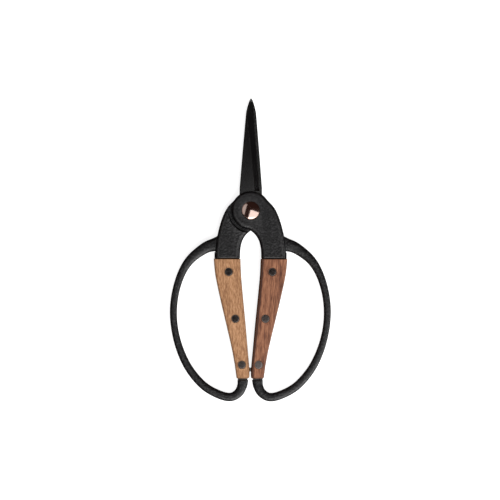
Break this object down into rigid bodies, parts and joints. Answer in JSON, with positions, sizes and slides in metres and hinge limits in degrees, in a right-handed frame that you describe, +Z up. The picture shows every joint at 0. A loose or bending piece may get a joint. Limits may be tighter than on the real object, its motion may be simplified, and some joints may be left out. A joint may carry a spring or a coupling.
{
  "type": "floral snips",
  "caption": "Slim floral snips with short pointed blades, riveted wooden handles inside closed finger bows, and a domed pivot.",
  "frame": {"origin": "bottom centre of the bounding box, with the snips closed and lying flat on their lower scales and lower pivot dome", "axes": "+Y from the handles to the blade tips, +X to the right seen from above, +Z up along the pivot's axis"},
  "size_m": [0.1064, 0.2, 0.012],
  "materials": {
    "frame_coating": "fine-grained matt black powder coat",
    "blade_oxide": "satin black oxide",
    "copper": "polished copper",
    "bronze": "plain bronze",
    "dark_steel": "dark flat-ground steel",
    "left_wood": "oiled light tan hardwood",
    "right_wood": "oiled reddish brown hardwood"
  },
  "bodies": {
    "left_half": {"left_handle_frame": "frame_coating", "left_blade": "blade_oxide", "left_closing_stop": "dark_steel", "left_scale_top": "left_wood", "left_scale_bottom": "left_wood", "left_upper_rivet_tube": "dark_steel", "left_upper_rivet_pin": "dark_steel", "left_middle_rivet_tube": "dark_steel", "left_middle_rivet_pin": "dark_steel", "left_lower_rivet_tube": "dark_steel", "left_lower_rivet_pin": "dark_steel", "pivot_rivet": "copper", "pivot_cap": "copper", "friction_washer": "bronze"},
    "right_half": {"right_handle_frame": "frame_coating", "right_blade": "blade_oxide", "right_closing_stop": "dark_steel", "right_scale_top": "right_wood", "right_scale_bottom": "right_wood", "right_upper_rivet_tube": "dark_steel", "right_upper_rivet_pin": "dark_steel", "right_middle_rivet_tube": "dark_steel", "right_middle_rivet_pin": "dark_steel", "right_lower_rivet_tube": "dark_steel", "right_lower_rivet_pin": "dark_steel"}
  },
  "joints": [
    {"name": "pivot_hinge", "type": "hinge", "parent": "left_half", "child": "right_half", "pos_m": [0, 0.026, 0.006], "axis": [0, 0, 1], "range_deg": [0, 64]}
  ]
}
